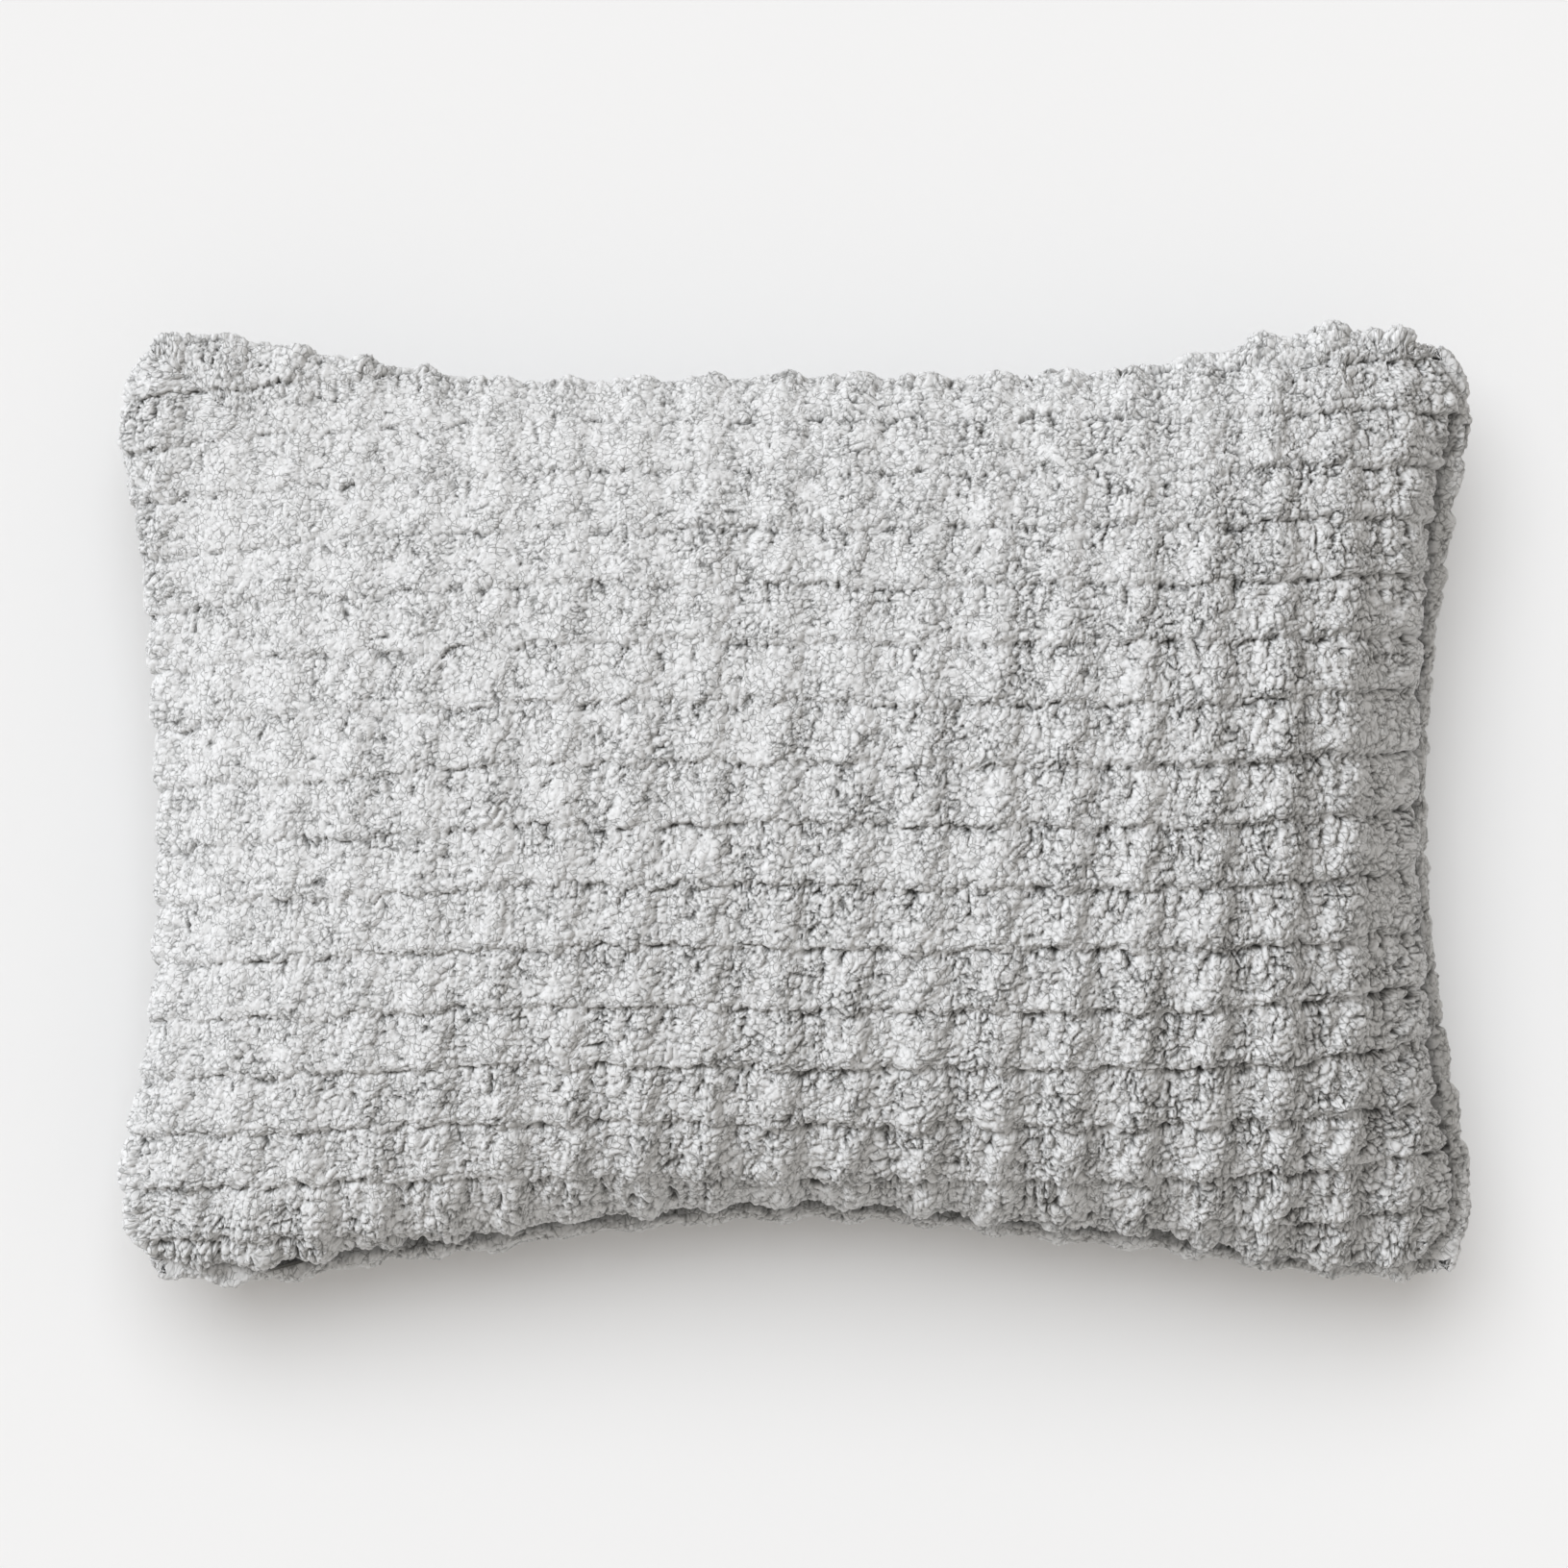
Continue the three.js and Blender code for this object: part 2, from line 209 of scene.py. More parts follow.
def weaveHeight(s, t, seed):  # mm of yarn above the cloth's back at s, t, and how deep a groove lies there
    s, t = bowed(s, t, seed)
    long, wide = weave["repeatLength"], weave["repeatWidth"]
    p = (s - weave["offsetLength"]) / long
    q = -(t - weave["offsetWidth"]) / wide
    ip, iq = np.floor(p), np.floor(q)
    p, q = (p - ip) * long, (q - iq) * wide
    raised = np.zeros(s.shape, np.float32)
    sunk = np.zeros(s.shape, np.float32)
    lines = [(k, line, True) for k, line in enumerate(yarns)]
    lines += [(k + 40, line, False) for k, line in enumerate(grooves)]
    for dx, dy in itertools.product((-1, 0, 1), repeat=2):
        for k, (start, end, half, height), isYarn in lines:
            start = (start[0] + dx * long, start[1] + dy * wide)
            end = (end[0] + dx * long, end[1] + dy * wide)
            if max(start[0], end[0]) + 3 * half < 0 or min(start[0], end[0]) - 3 * half > long:
                continue
            if max(start[1], end[1]) + 3 * half < 0 or min(start[1], end[1]) - 3 * half > wide:
                continue
            own = [scatter(ip + dx, iq + dy, seed + 31 * k + j) - 0.5 for j in range(5)]  # this cell's own
            away = awayFrom(p, q, start, end, half, own)
            if isYarn:
                raised = np.maximum(raised, (height + 0.8 * own[4]) * np.clip(1 - away * away, 0, 1) ** 0.7)
            else:
                sunk = np.maximum(sunk, height * (0.62 + 1.1 * own[4]) * np.exp(-away * away))
    share = q / wide
    ridge = weave["rowRidge"] * (1.25 * share ** 0.8 - 0.25 * share ** 3) * (1 - share ** 9)
    turn = 2 * math.pi * (p - weave["columnMiddle"]) / long
    ridge = ridge + weave["columnRidge"] * (0.5 + 0.5 * np.cos(turn))
    return weave["ground"] + ridge + raised, sunk * weave["grooveDepth"]


def strayed(s, t, part, seed):  # how far a part strays along and across the cloth, mm
    reach, over = weave["stray"][part]
    return reach * smoothNoise(s / over, t / over, seed), reach * smoothNoise(s / over, t / over, seed + 1)


def pile(x, y, kind, seed):  # mm that tufts of one kind stand, their cracks 0 to 1, nearness to a centre
    near, second, number = tufts(x / kind["size"], y / kind["size"], seed)
    puff = kind["top"] * np.exp(-kind["topFall"] * near * near)
    puff = puff + kind["side"] * (1 - np.exp(-kind["sideFall"] * (second - near)))
    height = kind["height"] * (puff - 0.6) * (kind["least"] + 0.9 * number)
    return height, np.exp(-(((second - near) / kind["crack"]) ** 2)), near


def clothSurface(s, t, seed, brushed):  # height in mm, and how deep in a crack each place lies, 0 to 1, which sets the painted shade there
    (yarnX, yarnY), (tuftX, tuftY) = strayed(s, t, "yarn", seed + 40), strayed(s, t, "tuft", seed + 42)
    x, y = s + yarnX + tuftX, t + yarnY + tuftY
    yarn, groove = weaveHeight(s + 0.7 * (x - s), t + 0.75 * (y - t), seed)
    tuft, tuftCrack, near = pile(x, y, weave["tuft"], seed + 50)
    curlX, curlY = strayed(s, t, "curl", seed + 80)
    curl, curlCrack, _ = pile(x + curlX, y + curlY, weave["curl"], seed + 70)
    # Tufts that stand in a groove bridge it.
    groove = groove * np.clip(0.45 + 1.1 * near, 0.45, 1.1)
    groove = groove * (0.85 + 0.4 * smoothNoise(s / 4.5, t / 3, seed + 66))
    low = np.clip(groove / weave["openGroove"], 0, 1)
    patch = 0.5 + 0.5 * smoothNoise(s / 8, t / 8, seed + 63)  # where the pile parts more
    share = np.clip(0.3 + 0.6 * patch * patch + low, 0, 1)
    tuftCrack = share * tuftCrack
    curlCrack = np.clip(1.1 * share - 0.1, 0, 1) * curlCrack
    # The pile was brushed flatter towards one corner, so it stands higher towards the other.
    brushing = weave["standRight"] * s / 250 + weave["standTop"] * t / 170
    stand = np.clip(weave["stand"] + brushed * brushing, 0.42, 1.35)
    rim = np.clip(np.maximum(abs(s) / 232 - 1, abs(t) / 156 - 1) * 10, 0, 1)
    stand = stand + (weave["standRim"] - np.minimum(stand, weave["standRim"])) * 0.6 * rim * brushed
    height = weave["ground"] + stand * (yarn - weave["ground"] - groove + tuft) + (0.4 + 0.6 * stand) * curl
    height = height - 0.6 * tuftCrack - 0.3 * curlCrack
    # How far into shade each place lies, from its cracks and open grooves, and more where the pile stands
    # high: the material paints it as shade
    deep = (0.95 * tuftCrack + 0.6 * curlCrack + 0.3 * low ** 1.5) * (0.25 + 0.72 * stand)
    return height.astype(np.float32), np.clip(deep, 0, 1).astype(np.float32)


# The cover's form

cover = {
    "halfLength": 254.0,  # of the cut cloth, mm
    "halfWidth": 178.0,
    "cornerLength": 258.4,  # to the corners, before they are rounded
    "cornerWidth": 182.2,
    "pullLength": 19.0,
    "pullWidth": 22.9,
    "cornerSharpness": 15,
    "seamHeight": 58.0,
    "lengthCurve": 3.0,
    "rightCurve": 3.7,  # the filling was pushed over to the right
    "widthCurve": 2.2,
    "fullness": 0.8,
    "fullerRight": 0.28,
    "fullerZip": 0.16,
    "lip": 12.0,  # cloth that rolls over into the seam
    "seamGap": 0.9,  # half the distance between the sewn edges
    "pileClear": 0.1,  # from the seam's height to the pile, where the panels are sewn
    "zipClear": 2.1,
    "backing": 1.5,  # from the pile's foot to the cloth's inside
    "insideStep": 8.0,  # spacing of the inside's mesh
    "insideLow": 1.2,  # least height of the inside
    "edgeShare": 0.985,  # how much of its rise the dome loses by the edge, where a full loss is too steep
    "settled": 3.4,  # height of the belly's lowest ground, and the rise over which it gets there
    "settledOver": 2.2,
    "fadeFrom": 2.0,  # how far before the cloth's edge the pile begins to shorten, and over what length
    "fadeOver": 6.0,
    "pressed": 0.3,  # mm over which the pile gives way where it meets the seam's height
    "zipFrom": 0.6,  # share of the half width beyond which the zip parts the panels
    "zipTo": 0.84,  # share of the half length beyond which they are sewn
    # The unwrapping: mm of cloth across the square, and where the cloth's middle lies up it
    "outsideUnwrap": (540, 0.36),
    "insideUnwrap": (1300, 0.85),
}
# How far each side's edge stands out from, or in from, an even curve: (place along the side, mm)
edgeShape = {
    "+y": [(-1, 0), (-0.87, 1), (-0.5, -3.5), (0, 2), (0.55, -1.5), (0.76, 5), (1, 1)],
    "-y": [(-1, 0), (-0.77, 4), (-0.5, 2), (-0.3, -2), (0, -5.5), (0.45, -1), (0.74, 2), (1, 0)],
    "-x": [(-1, -2), (-0.7, 2), (-0.3, -1), (0.4, 1), (0.74, 4.5), (1, -2)],
    "+x": [(-1, -2), (-0.8, 1), (0, -2), (0.6, 0), (0.85, 1), (1, -4)],
}
# Each panel: its cloth's rise or drop, its edge's height from the seam where it is sewn and where the
# zip parts it, its side of the seam, its mesh's spacing, its noise, how far its edge lies in from the
# seam's line on each side, how far its pile was brushed, and how much of it turns in at the seam
panels = {
    "front": {"rise": 56.2, "sewnEdge": 2.3, "zipEdge": 4.6, "side": 1, "step": 0.6, "seed": 3,
              "in": {"+x": 9.5, "-x": 4.5, "+y": 4.5, "-y": 8.0}, "brushed": 1.0, "tuck": 4.0},
    "back": {"rise": 60.0, "sewnEdge": 2.4, "zipEdge": 5.4, "side": -1, "step": 0.9, "seed": 11,
             "in": {"+x": 1.0, "-x": 6.0, "+y": 6.0, "-y": 0.5}, "brushed": 0.0, "tuck": 7.0},
}


def eased(place, points):  # a smooth line through points
    at, values = zip(*points)
    i = np.clip(np.searchsorted(at, place) - 1, 0, len(at) - 2)
    at, values = np.array(at), np.array(values, float)
    f = np.clip((place - at[i]) / (at[i + 1] - at[i]), 0, 1)
    f = f * f * (3 - 2 * f)
    return values[i] + (values[i + 1] - values[i]) * f


def leaning(u, v, side):  # the front half is fuller towards its right and its zip
    return 1 + (side > 0) * (cover["fullerRight"] * u - cover["fullerZip"] * v)


def parted(u, v):  # 1 where the zip parts the two panels, 0 where they are sewn
    return np.clip((-v - cover["zipFrom"]) / 0.25, 0, 1) * np.clip((cover["zipTo"] - abs(u)) / 0.06, 0, 1)


def form(u, v, panel):  # a place on the panel's ground, mm
    big, small = np.maximum(abs(u), abs(v)), np.minimum(abs(u), abs(v))
    ratio = small / np.maximum(big, 1e-6)
    power = cover["cornerSharpness"]
    keep = 1 - (1 - (1 + ratio ** power) ** (-1 / power)) * big ** 4
    x = keep * (cover["cornerLength"] * u - cover["pullLength"] * (1 - v * v) * u * abs(u) ** 4)
    y = keep * (cover["cornerWidth"] * v - cover["pullWidth"] * (1 - u * u) * v * abs(v) ** 2.2)
    inset = panel["in"]
    shape = {side: eased(v if side[1] == "x" else u, points) for side, points in edgeShape.items()}
    x = x - u * abs(u) ** 3 * np.where(u > 0, inset["+x"] - shape["+x"], inset["-x"] - shape["-x"])
    y = y - v * abs(v) ** 3 * np.where(v > 0, inset["+y"] - shape["+y"], inset["-y"] - shape["-y"])
    lengthCurve = cover["lengthCurve"] + (cover["rightCurve"] - cover["lengthCurve"]) * np.clip(u * 2, 0, 1)
    loss = cover["edgeShare"]
    dome = (1 - loss * abs(u) ** lengthCurve) * (1 - loss * abs(v) ** cover["widthCurve"])
    dome = dome ** cover["fullness"] * leaning(u, v, panel["side"])
    edge = panel["sewnEdge"] + (panel["zipEdge"] - panel["sewnEdge"]) * parted(u, v)
    z = cover["seamHeight"] + panel["side"] * (edge + panel["rise"] * dome)
    if panel["side"] < 0:  # the belly settles on what it lies on
        low, over = cover["settled"], cover["settledOver"]
        z = low + np.logaddexp(0, (z - low) / over) * over
    return np.stack([x, y, z], -1)


def panelPoints(panel, s, t):  # ground points and outward directions for cloth places s, t
    domeLength, domeWidth = cover["halfLength"] - cover["lip"], cover["halfWidth"] - cover["lip"]
    edge = 0.999
    u, v = np.clip(s / domeLength, -edge, edge), np.clip(t / domeWidth, -edge, edge)
    ground = form(u, v, panel)
    d = 1e-3
    alongU = form(u + d, v, panel) - form(u - d, v, panel)
    alongV = form(u, v + d, panel) - form(u, v - d, panel)
    out = np.cross(alongU, alongV) * panel["side"]
    out /= np.linalg.norm(out, axis=-1, keepdims=True)
    # Past the dome, the cloth rolls over and under into the seam.
    overU, overV = np.maximum(abs(s) - domeLength, 0), np.maximum(abs(t) - domeWidth, 0)
    over = np.maximum(overU, overV)
    signU, signV = np.where(u < 0, -1, 1), np.where(v < 0, -1, 1)
    sideU = np.stack([alongV[..., 1] * signU, -alongV[..., 0] * signU], -1)
    sideV = np.stack([-alongU[..., 1] * signV, alongU[..., 0] * signV], -1)
    sideU /= np.linalg.norm(sideU, axis=-1, keepdims=True)
    sideV /= np.linalg.norm(sideV, axis=-1, keepdims=True)
    away = overU[..., None] * sideU + overV[..., None] * sideV
    away /= np.maximum(np.linalg.norm(away, axis=-1, keepdims=True), 1e-9)
    turn = np.clip(over / cover["lip"], 0, 1)
    start = np.arcsin(np.clip(abs(out[..., 2]), 0, 1))
    angle = start + (-math.pi / 2 - start) * turn
    rolled = np.concatenate([away * np.cos(angle)[..., None],
                             (panel["side"] * np.sin(angle))[..., None]], -1)
    out = np.where((over > 0)[..., None], rolled, out)
    tucked = np.clip(over - cover["lip"], 0, None)
    ground[..., :2] -= away * tucked[..., None]
    down = panel["side"] * (panel["sewnEdge"] - cover["seamGap"]) * np.clip(tucked / panel["tuck"], 0, 1)
    ground[..., 2] -= down * (1 - parted(u, v))
    return ground, out


def gridFaces(across, along, flip):
    i, j = np.meshgrid(np.arange(across - 1), np.arange(along - 1), indexing="ij")
    a = (i * along + j).ravel()
    quads = np.stack([a, a + along, a + along + 1, a + 1], -1)
    return quads[:, ::-1] if flip else quads


def meshFrom(name, points, quads, tris=None):  # a piece from points in mm, its faces turned out
    points = np.asarray(points, float)
    tris = np.zeros((0, 3), int) if tris is None else tris
    halves = np.concatenate([quads[:, :3], quads[:, [0, 2, 3]], tris])
    a, b, c = (points[halves[:, k]] for k in range(3))
    if (a * np.cross(b, c)).sum() < 0:
        quads, tris = quads[:, ::-1], tris[:, ::-1]
    mesh = bpy.data.meshes.new(name)
    mesh.vertices.add(len(points))
    mesh.vertices.foreach_set("co", (np.asarray(points, np.float32) * mm).ravel())
    loops = np.concatenate([quads.ravel(), tris.ravel()]).astype(np.int32)
    mesh.loops.add(len(loops))
    mesh.loops.foreach_set("vertex_index", loops)
    starts = np.concatenate([np.arange(len(quads)) * 4, len(quads) * 4 + np.arange(len(tris)) * 3])
    mesh.polygons.add(len(starts))
    mesh.polygons.foreach_set("loop_start", starts.astype(np.int32))
    mesh.update(calc_edges=True)
    mesh.polygons.foreach_set("use_smooth", np.ones(len(starts), bool))
    piece = bpy.data.objects.new(name, mesh)
    bpy.context.scene.collection.objects.link(piece)
    return piece


def ringOf(across, along):  # a grid's edge, once round, with how far round each point is, 0 to 4
    i, j = np.arange(across - 1), np.arange(along - 1)
    rows = [i, np.full(along - 1, across - 1), across - 1 - i, np.zeros(along - 1, int)]
    columns = [np.zeros(across - 1, int), j, np.full(across - 1, along - 1), along - 1 - j]
    places = [i / (across - 1), 1 + j / (along - 1), 2 + i / (across - 1), 3 + j / (along - 1)]
    return np.concatenate(rows) * along + np.concatenate(columns), np.concatenate(places)


def closedBetween(over, under):  # a closed solid between two grids of the same count
    n, m = over.shape[:2]
    ring, _ = ringOf(n, m)
    after = np.roll(ring, -1)
    rim = np.stack([ring, after, after + n * m, ring + n * m], -1)
    quads = np.concatenate([gridFaces(n, m, False), gridFaces(n, m, True) + n * m, rim[:, ::-1]])
    return np.concatenate([over.reshape(-1, 3), under.reshape(-1, 3)]), quads


def bridge(ringA, placeA, ringB, placeB):  # triangles that join two rings of different counts
    ringA, ringB = list(ringA) + [ringA[0]], list(ringB) + [ringB[0]]
    placeA, placeB = list(placeA) + [4.0], list(placeB) + [4.0]
    tris, a, b = [], 0, 0
    while a < len(ringA) - 1 or b < len(ringB) - 1:
        stepA = b == len(ringB) - 1 or (a < len(ringA) - 1 and placeA[a + 1] <= placeB[b + 1])
        if stepA:
            tris.append((ringA[a], ringA[a + 1], ringB[b]))
            a += 1
        else:
            tris.append((ringA[a], ringB[b + 1], ringB[b]))
            b += 1
    return np.array(tris)


def clothGrid(panel, step):  # places on a panel's cloth, mm from its middle
    reachS, reachT = cover["halfLength"] + panel["tuck"], cover["halfWidth"] + panel["tuck"]
    ns, nt = int(2 * reachS / step), int(2 * reachT / step)
    return np.meshgrid(np.linspace(-reachS, reachS, ns), np.linspace(-reachT, reachT, nt), indexing="ij")


def coverPanel(name, panel, material):
    side = panel["side"]
    s, t = clothGrid(panel, panel["step"])
    ground, out = panelPoints(panel, s, t)
    # The cloth's rows run straight in plan, and are packed closer where the pillow's sides slope away.
    overS = np.sign(s) * np.maximum(abs(s) - cover["halfLength"] + cover["lip"], 0)
    overT = np.sign(t) * np.maximum(abs(t) - cover["halfWidth"] + cover["lip"], 0)
    halfX, halfY = weave["packHalf"]
    along = ground[..., 0] + weave["packLength"] * (ground[..., 0] / halfX) ** 3 + overS
    across = ground[..., 1] + weave["packWidth"] * (ground[..., 1] / halfY) ** 3 + overT
    height, deep = clothSurface(along, across * side, panel["seed"], panel["brushed"])
    beyond = np.maximum(abs(s) - cover["halfLength"], abs(t) - cover["halfWidth"])
    fade = np.clip(1 - np.maximum(beyond + cover["fadeFrom"], 0) / cover["fadeOver"], 0, 1)
    height = height * fade
    points = ground + out * height[..., None]
    # Each tuft hangs a little towards the zip's side, so that the rows lap over one another.
    points[..., 1] -= weave["hang"] * (height - weave["hangFrom"]) * fade * out[..., 2] ** 2
    # The two panels' pile meets at the seam, and stays clear of the slider and its pull along the zip.
    opening = parted(s / (cover["halfLength"] - cover["lip"]), t / (cover["halfWidth"] - cover["lip"]))
    clear = cover["pileClear"] + (cover["zipClear"] - cover["pileClear"]) * opening
    above = side * (points[..., 2] - cover["seamHeight"]) - clear
    points[..., 2] += side * (np.logaddexp(0, above / cover["pressed"]) * cover["pressed"] - above)
    if side < 0:
        points[..., 2] = np.maximum(points[..., 2], 0.0)
    ns, nt = s.shape
    s2, t2 = clothGrid(panel, cover["insideStep"])
    ground2, out2 = panelPoints(panel, s2, t2)
    inside = ground2 - out2 * cover["backing"]
    inside[..., 2] = np.maximum(inside[..., 2], cover["insideLow"])
    count, (n2, m2) = ns * nt, s2.shape
    ring, place = ringOf(ns, nt)
    ring2, place2 = ringOf(n2, m2)
    tris = bridge(ring, place, ring2 + count, place2)
    quads = np.concatenate([gridFaces(ns, nt, side < 0), gridFaces(n2, m2, side > 0) + count])
    allPoints = np.concatenate([points.reshape(-1, 3), inside.reshape(-1, 3)])
    piece = meshFrom(name, allPoints, quads, tris if side < 0 else tris[:, ::-1])
    mesh = piece.data
    none = np.zeros(n2 * m2, np.float32)
    # The cracks' depth goes to the material, which darkens the colour there as painted shade.
    mesh.attributes.new("deep", "FLOAT", "POINT").data.foreach_set(
        "value", np.concatenate([deep.ravel(), none]))
    # Places on the cloth, for its material: the third number keeps each layer's noise its own.
    outside = np.stack([s, t, np.full(s.shape, side * 90.0)], -1).reshape(-1, 3)
    lining = np.stack([s2, t2, np.full(s2.shape, side * 50.0)], -1).reshape(-1, 3)
    cloth = np.concatenate([outside, lining]) * mm
    mesh.attributes.new("cloth", "FLOAT_VECTOR", "POINT").data.foreach_set(
        "vector", cloth.astype(np.float32).ravel())
    # The flat cloth as it was cut, with its back laid beside it
    flat = []
    for (size, up), a, b in ((cover["outsideUnwrap"], s, t), (cover["insideUnwrap"], s2, t2)):
        flat.append(np.stack([a.ravel() / size + 0.5, b.ravel() / size + up], -1))
    flat = np.concatenate(flat)
    corners = np.empty(len(mesh.loops), np.int32)
    mesh.loops.foreach_get("vertex_index", corners)
    mesh.uv_layers.new(name="OFBake").data.foreach_set("uv", flat[corners].astype(np.float32).ravel())
    mesh.materials.append(material)
    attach(piece, "cover")
    print(name, len(mesh.vertices), "points")
    return piece


# Chenille: cut pile round a core yarn. It gives a matt, nearly neutral grey with painted shade in the cracks
# between tufts, and a faint pale bloom where the pile is seen side on.
def chenilleMaterial():
    material, tree, surface = newMaterial("chenilleCutPile", Roughness=0.98, Sheen_Weight=0.14,
                                          Sheen_Roughness=0.6, Specular_IOR_Level=0.15)
    cloth = addNode(tree, "Attribute", {"attribute_name": "cloth"})
    deep = addNode(tree, "Attribute", {"attribute_name": "deep"})
    # Clumps of pile about 1.1 mm across, coarser than the real fibres, pushed about every 4 mm
    swirl = addNode(tree, "TexNoise", {"Scale": 1 / 0.004, "Detail": 1.0}, {"Vector": (cloth, "Vector")})
    turned = addNode(tree, "VectorMath", {"operation": "MULTIPLY_ADD", 1: (0.0022, 0.0022, 0.0)},
                     {0: (swirl, "Color"), 2: (cloth, "Vector")})
    clumps = addNode(tree, "TexNoise", {"Scale": 1 / 0.0011, "Detail": 2.5, "Roughness": 0.62},
                      {"Vector": (turned, "Vector")})
    # Thin breaks between tufts 2.2 mm across, which come and go every few millimetres: embossed, with
    # painted shade in them
    fine = addNode(tree, "TexVoronoi", {"Scale": 1 / 0.0022, "feature": "DISTANCE_TO_EDGE"},
                   {"Vector": (turned, "Vector")})
    patch = addNode(tree, "TexNoise", {"Scale": 1 / 0.0034, "Detail": 2.0}, {"Vector": (cloth, "Vector")})
    width = addNode(tree, "MapRange", {"From Min": 0.4, "From Max": 0.62, "To Min": 0.002, "To Max": 0.13},
                    {"Value": (patch, "Fac")})
    edges = addNode(tree, "MapRange", None, {"Value": (fine, "Distance"), "From Max": (width, "Result")})
    # The pile's own tone, times the painted shade from the cracks' depth and the painted shade in the thin
    # breaks
    tone, crackShade, lines = (addNode(tree, "ValToRGB", None, {"Fac": values}) for values in
                           ((clumps, "Fac"), (deep, "Fac"), (edges, "Result")))
    setRamp(tone, [(0.3, "#cdcdcd"), (0.5, "#d8d9d9"), (0.68, "#e0e0e1")])
    setRamp(crackShade, [(0.08, "#ffffff"), (0.45, "#c4c4c3"), (1.0, "#565654")])
    setRamp(lines, [(0.0, "#b4b4b3"), (0.8, "#ffffff")])
    colour = (tone, "Color")
    for other in (crackShade, lines):
        colour = (addNode(tree, "Mix", {"data_type": "RGBA", "blend_type": "MULTIPLY", 0: 1.0},
                          {6: colour, 7: (other, "Color")}), 2)
    tree.links.new(colour[0].outputs[2], surface.inputs["Base Color"])
    bump = addNode(tree, "Bump", {"Strength": 0.45, "Distance": 0.0004}, {"Height": (clumps, "Fac")})
    bump2 = addNode(tree, "Bump", {"Strength": 0.5, "Distance": 0.0005},
                    {"Height": (edges, "Result"), "Normal": (bump, "Normal")})
    tree.links.new(bump2.outputs["Normal"], surface.inputs["Normal"])
    return material


chenille = chenilleMaterial()
frontCloth = coverPanel("front_cloth", panels["front"], chenille)
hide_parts("front_panel")
backCloth = coverPanel("back_cloth", panels["back"], chenille)
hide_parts("back_panel")
print("cover done")


# Threads, which are rows of stitches

threads = {
    "seam": {"radius": 0.36, "stitch": 3.0, "gap": 0.35, "inset": 2.4},
    "tape": {"radius": 0.24, "stitch": 2.6, "gap": 0.3},
    "insert": {"radius": 0.28, "stitch": 3.2, "gap": 0.4},
    "closing": {"radius": 0.3, "stitch": 4.6, "gap": 0.8},
    "sides": 8,
}


def tubes(paths, radii, facing):  # closed tubes along paths, whose sections are set out from facing
    paths = np.asarray(paths, float)
    along = np.gradient(paths, axis=1)
    along /= np.linalg.norm(along, axis=-1, keepdims=True)
    across = np.cross(along, facing)
    across /= np.linalg.norm(across, axis=-1, keepdims=True)
    other = np.cross(across, along)
    sides = threads["sides"]
    turn = np.linspace(0, 2 * math.pi, sides, endpoint=False)[:, None]
    ring = across[:, :, None] * np.cos(turn) + other[:, :, None] * np.sin(turn)
    points = paths[:, :, None] + np.asarray(radii, float)[:, None, None] * ring
    count, rings = paths.shape[:2]
    i, k = np.meshgrid(np.arange(rings - 1), np.arange(sides), indexing="ij")
    low, high = i * sides + k, i * sides + (k + 1) % sides
    quads = np.stack([low, low + sides, high + sides, high], -1).reshape(-1, 4)
    last = (rings - 1) * sides
    caps = [(0, k + 1, k) for k in range(1, sides - 1)]
    caps += [(last, last + k, last + k + 1) for k in range(1, sides - 1)]
    start = np.arange(count)[:, None, None] * rings * sides
    tris = np.array(caps)[:, ::-1] + start
    return points.reshape(-1, 3), (quads + start).reshape(-1, 4), tris.reshape(-1, 3)


def evenly(line, spacing):  # places a set distance apart along a line of points
    line = np.asarray(line, float)
    far = np.concatenate([[0], np.cumsum(np.linalg.norm(np.diff(line, axis=0), axis=1))])
    at = np.arange(0, far[-1], spacing)
    return np.stack([np.interp(at, far, line[:, k]) for k in range(3)], -1)


def stitches(line, kind, lift=0.0):  # a row of stitches along a line: each rises a little at its middle
    whole = kind["stitch"] + kind["gap"]
    starts = evenly(line, whole)
    step = np.diff(starts, axis=0) * (kind["stitch"] / whole)
    share = np.array([0.0, 0.12, 0.35, 0.65, 0.88, 1.0])
    paths = starts[:-1, None] + step[:, None] * share[:, None]
    paths[..., 2] += lift * 4 * share * (1 - share)
    return tubes(paths, kind["radius"] * np.array([0.3, 0.8, 1.0, 1.0, 0.8, 0.3]), (0.0, 0.0, 1.0))


def addPiece(name, shape, material, slot, *replaced, body="cover"):
    piece = meshFrom(name, *shape)
    piece.data.materials.append(material)
    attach(piece, body)
    if replaced:
        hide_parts(*replaced)
    return piece


def waveScale(size):  # a wave texture's scale for bands of a size in mm
    return 0.314 / (size * mm)


# Spun polyester thread: twisted plies, seen as fine slanting ridges. The twist is drawn 0.6 mm long,
# coarser than the real 0.3 mm, so that it shows.
def threadMaterial():
    material, tree, surface = newMaterial("spunPolyesterThread", Roughness=0.7, Sheen_Weight=0.15,
                                          Specular_IOR_Level=0.3)
    place = addNode(tree, "TexCoord")
    twist = addNode(tree, "TexWave", {"bands_direction": "DIAGONAL", "Scale": waveScale(0.6),
                                      "Distortion": 1.2}, {"Vector": (place, "Object")})
    tint(tree, surface, (twist, "Fac"), [(0.0, "#a9a9a7"), (0.55, "#c9c9c7"), (1.0, "#dcdcda")])
    emboss(tree, surface, (twist, "Fac"), 0.6, 0.1)
    return material


